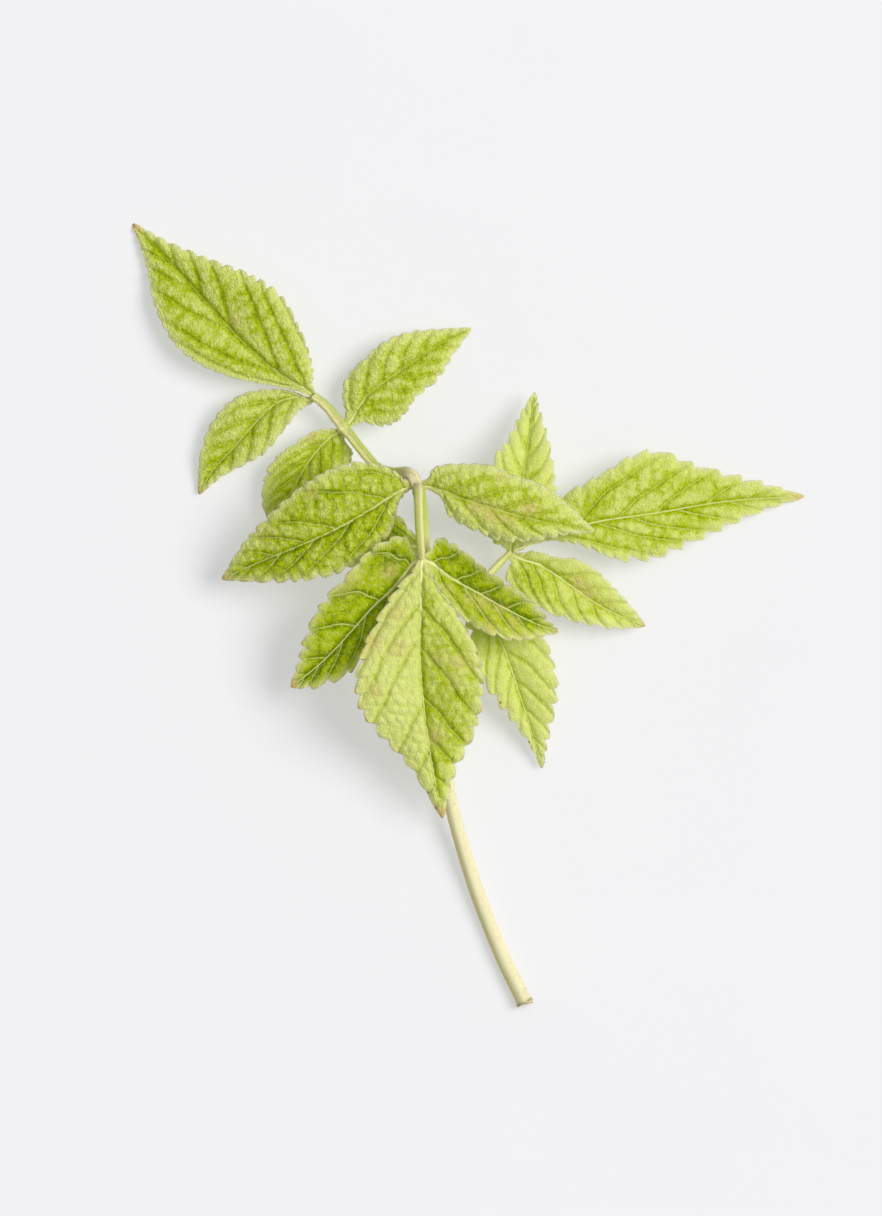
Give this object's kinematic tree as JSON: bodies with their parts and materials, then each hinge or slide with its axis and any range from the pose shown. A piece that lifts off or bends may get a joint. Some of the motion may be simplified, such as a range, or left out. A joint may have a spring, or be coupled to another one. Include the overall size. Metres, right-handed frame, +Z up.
{
  "type": "sage sprig",
  "caption": "Cut sage sprig lying on a surface: a slender stem with compound leaves of toothed, puckered, yellow-green leaflets, for a table, a kitchen or a food scene.",
  "frame": {"origin": "under the middle of the sprig's outline, on the surface that it lies on", "axes": "+Y from the stem's cut end towards the leaf node, +Z up from the surface, +X to the right seen from above"},
  "size_m": [0.1344, 0.1564, 0.0197],
  "materials": {
    "leaf_blade": "soft matt yellow-green leaf with fine down, paler margins and brown-tinged tips",
    "stem_skin": "cream-yellow herb stem, downy, browned at the cut",
    "stalk_skin": "pale green downy leaf stalk with a grey-purple flush at the node"
  },
  "bodies": {
    "root": {"main_stem": "stem_skin", "upper_rachis": "stalk_skin", "front_petiole": "stalk_skin", "right_petiole": "stalk_skin", "upper_end": "leaf_blade", "upper_side": "leaf_blade", "pair_right": "leaf_blade", "pair_left": "leaf_blade", "node_left": "leaf_blade", "node_right": "leaf_blade", "front_end": "leaf_blade", "front_left": "leaf_blade", "front_right": "leaf_blade", "right_end": "leaf_blade", "right_upper": "leaf_blade", "right_lower": "leaf_blade", "right_back": "leaf_blade", "hidden_left": "leaf_blade"}
  },
  "joints": []
}
